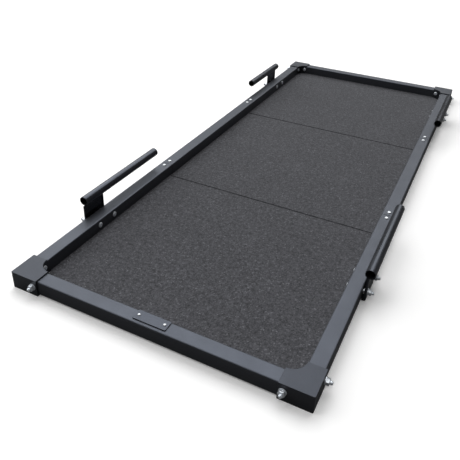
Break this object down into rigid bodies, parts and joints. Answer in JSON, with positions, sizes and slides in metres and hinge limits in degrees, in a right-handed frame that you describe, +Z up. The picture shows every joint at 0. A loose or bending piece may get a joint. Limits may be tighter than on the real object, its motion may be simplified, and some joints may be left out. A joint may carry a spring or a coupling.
{
  "type": "deadlift platform",
  "caption": "Low rectangular lifting platform: bolted square-tube frame with corner sleeves, rubber tiles inside it, and band pegs on brackets along both long sides.",
  "frame": {"origin": "on the floor under the middle of the frame", "axes": "+X to the right side, +Y to the rear end, away from the name plate, +Z up"},
  "size_m": [1.0596, 2.5426, 0.1319],
  "materials": {
    "frame_paint": "blue-grey to black powder coat, satin",
    "peg_paint": "black powder coat, satin",
    "rubber_granulate": "pressed rubber granulate, matt, fine speckle",
    "zinc_plated_steel": "bright zinc plating",
    "name_plate_paint": "dark satin, bare"
  },
  "bodies": {
    "root": {"corner_bolt_front_left_end": "zinc_plated_steel", "corner_bolt_front_left_side": "zinc_plated_steel", "corner_bolt_front_right_end": "zinc_plated_steel", "corner_bolt_front_right_side": "zinc_plated_steel", "corner_bolt_rear_left_end": "zinc_plated_steel", "corner_bolt_rear_left_side": "zinc_plated_steel", "corner_bolt_rear_right_end": "zinc_plated_steel", "corner_bolt_rear_right_side": "zinc_plated_steel", "corner_front_left": "frame_paint", "corner_front_right": "frame_paint", "corner_rear_left": "frame_paint", "corner_rear_right": "frame_paint", "end_beam_front": "frame_paint", "end_beam_rear": "frame_paint", "name_plate": "name_plate_paint", "name_plate_screw_left": "zinc_plated_steel", "name_plate_screw_right": "zinc_plated_steel", "peg_bolt_left_front_a": "zinc_plated_steel", "peg_bolt_left_front_b": "zinc_plated_steel", "peg_bolt_left_rear_a": "zinc_plated_steel", "peg_bolt_left_rear_b": "zinc_plated_steel", "peg_bolt_right_front_a": "zinc_plated_steel", "peg_bolt_right_front_b": "zinc_plated_steel", "peg_bolt_right_rear_a": "zinc_plated_steel", "peg_bolt_right_rear_b": "zinc_plated_steel", "peg_bracket_left_front": "peg_paint", "peg_bracket_left_rear": "peg_paint", "peg_bracket_right_front": "peg_paint", "peg_bracket_right_rear": "peg_paint", "peg_pipe_left_front": "peg_paint", "peg_pipe_left_rear": "peg_paint", "peg_pipe_right_front": "peg_paint", "peg_pipe_right_rear": "peg_paint", "rubber_tile_front": "rubber_granulate", "rubber_tile_middle": "rubber_granulate", "rubber_tile_rear": "rubber_granulate", "side_beam_left_front": "frame_paint", "side_beam_left_middle": "frame_paint", "side_beam_left_rear": "frame_paint", "side_beam_right_front": "frame_paint", "side_beam_right_middle": "frame_paint", "side_beam_right_rear": "frame_paint", "splice_screw_left_front_a": "zinc_plated_steel", "splice_screw_left_front_b": "zinc_plated_steel", "splice_screw_left_rear_a": "zinc_plated_steel", "splice_screw_left_rear_b": "zinc_plated_steel", "splice_screw_right_front_a": "zinc_plated_steel", "splice_screw_right_front_b": "zinc_plated_steel", "splice_screw_right_rear_a": "zinc_plated_steel", "splice_screw_right_rear_b": "zinc_plated_steel", "splice_sleeve_left_front": "frame_paint", "splice_sleeve_left_rear": "frame_paint", "splice_sleeve_right_front": "frame_paint", "splice_sleeve_right_rear": "frame_paint"}
  },
  "joints": []
}
